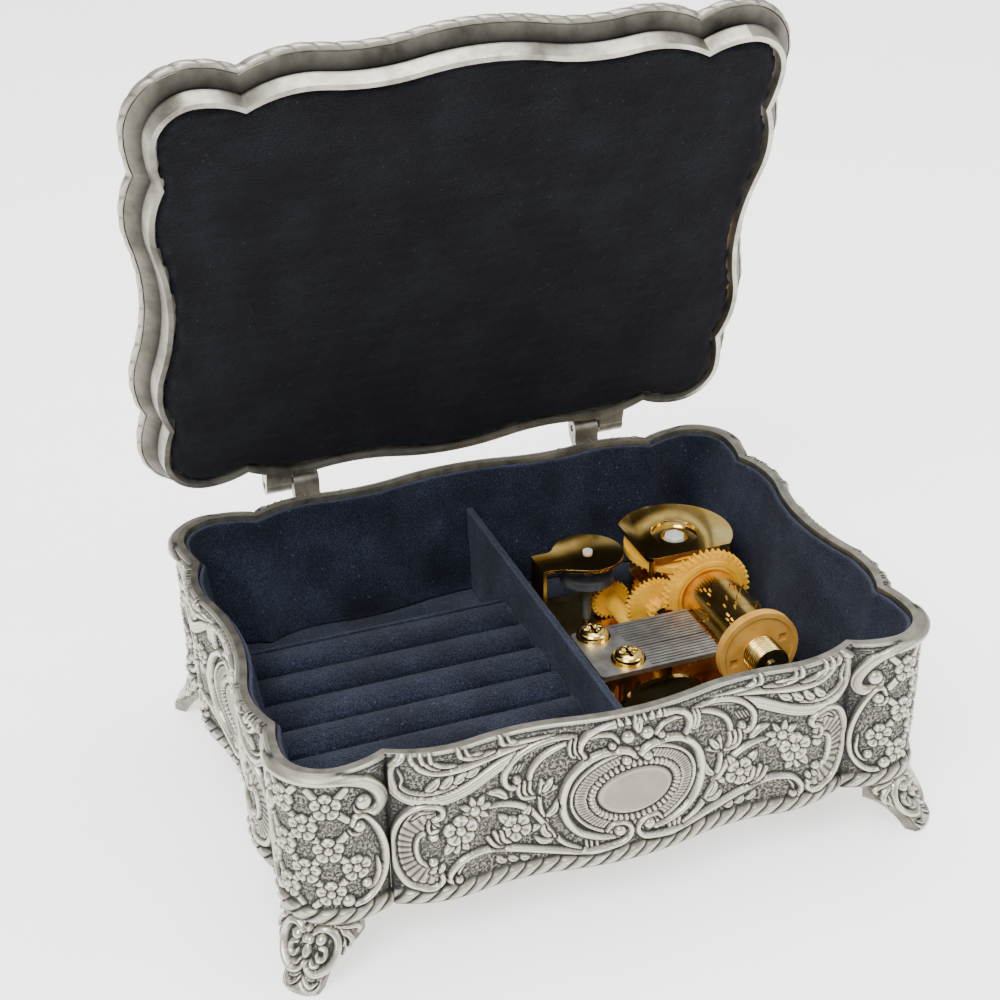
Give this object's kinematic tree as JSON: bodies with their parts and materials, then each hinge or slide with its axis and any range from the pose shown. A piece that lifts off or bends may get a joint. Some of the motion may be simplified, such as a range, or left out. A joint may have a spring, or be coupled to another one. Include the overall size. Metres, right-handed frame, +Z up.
{
  "type": "jewelry music box",
  "caption": "Footed cast-metal jewelry box with a hinged velvet-lined lid, ring rolls and a wind-up musical movement.",
  "frame": {"origin": "on the surface the four feet stand on, under the centre of the box outline", "axes": "+X to the right along the box's long side, +Y to the back where the hinges are, +Z up"},
  "size_m": [0.1388, 0.1118, 0.154],
  "materials": {
    "pewter": "antiqued cast pewter",
    "gold": "polished gold plate",
    "steel": "brushed",
    "nylon": "moulded amber nylon",
    "disc": "moulded tan plastic",
    "fan": "clear grey",
    "clear": "clear",
    "velvet": "navy velvet",
    "plate": "dark lacquer"
  },
  "bodies": {
    "case": {"box_body": "pewter", "foot_front_left": "pewter", "foot_front_right": "pewter", "foot_back_left": "pewter", "foot_back_right": "pewter", "bottom_plate": "plate", "bottom_screws": "steel", "floor_lining": "velvet", "wall_lining": "velvet", "divider": "velvet", "roll_tray": "velvet", "ring_roll_1": "velvet", "ring_roll_2": "velvet", "ring_roll_3": "velvet", "ring_roll_4": "velvet", "ring_roll_5": "velvet", "ring_roll_6": "velvet", "ring_roll_7": "velvet", "hinge_pin_left": "steel", "hinge_pin_right": "steel", "movement_bedplate": "gold", "movement_screws": "steel", "comb_base": "gold", "comb": "steel", "comb_screws": "gold", "governor_bracket": "gold", "bracket_screw": "gold", "pivot_cap": "clear", "spring_cover": "gold", "click_pawl": "steel"},
    "lid": {"lid_shell": "pewter", "lid_lining": "velvet"},
    "cylinder": {"cylinder": "gold", "cylinder_gear": "nylon", "end_disc": "disc", "cylinder_shaft": "steel", "threaded_bushing": "gold", "cylinder_pinion": "nylon"},
    "intermediate": {"intermediate_gear": "nylon", "intermediate_shaft": "steel"},
    "worm_wheel": {"worm_wheel": "nylon", "worm_wheel_shaft": "steel"},
    "governor": {"governor": "fan"},
    "barrel": {"spring_barrel": "gold", "mainspring": "steel", "drive_gear": "nylon", "nylon_hub": "clear"},
    "winding": {"winding_arbor": "steel", "ratchet_wheel": "steel", "winding_key": "gold"}
  },
  "joints": [
    {"name": "lid_hinge", "type": "hinge", "parent": "case", "child": "lid", "pos_m": [0, 0.0532, 0.0491], "axis": [-1, 0, 0], "range_deg": [-73, 22]},
    {"name": "cylinder_spin", "type": "hinge", "parent": "case", "child": "cylinder", "pos_m": [0.0408, 0, 0.0314], "axis": [0, 1, 0], "continuous": true},
    {"name": "intermediate_spin", "type": "hinge", "parent": "case", "child": "intermediate", "pos_m": [0.02947, 0.003, 0.0296], "axis": [0, 1, 0], "continuous": true},
    {"name": "worm_wheel_spin", "type": "hinge", "parent": "case", "child": "worm_wheel", "pos_m": [0.02633, 0.01, 0.02257], "axis": [0, 1, 0], "continuous": true},
    {"name": "governor_spin", "type": "hinge", "parent": "case", "child": "governor", "pos_m": [0.02074, 0.0203, 0.03], "axis": [0, 0, 1], "continuous": true},
    {"name": "barrel_spin", "type": "hinge", "parent": "case", "child": "barrel", "pos_m": [0.0408, 0.0184, 0.0244], "axis": [0, 0, 1], "continuous": true},
    {"name": "winding_turn", "type": "hinge", "parent": "case", "child": "winding", "pos_m": [0.0408, 0.0184, 0.006], "axis": [0, 0, 1], "range_deg": [0, 1440]}
  ],
  "couplings": [
    {"joint": "intermediate_spin", "follows": "cylinder_spin", "ratio": -5.375},
    {"joint": "worm_wheel_spin", "follows": "cylinder_spin", "ratio": 18.275},
    {"joint": "governor_spin", "follows": "cylinder_spin", "ratio": -438.6},
    {"joint": "barrel_spin", "follows": "cylinder_spin", "ratio": 0.19512}
  ]
}
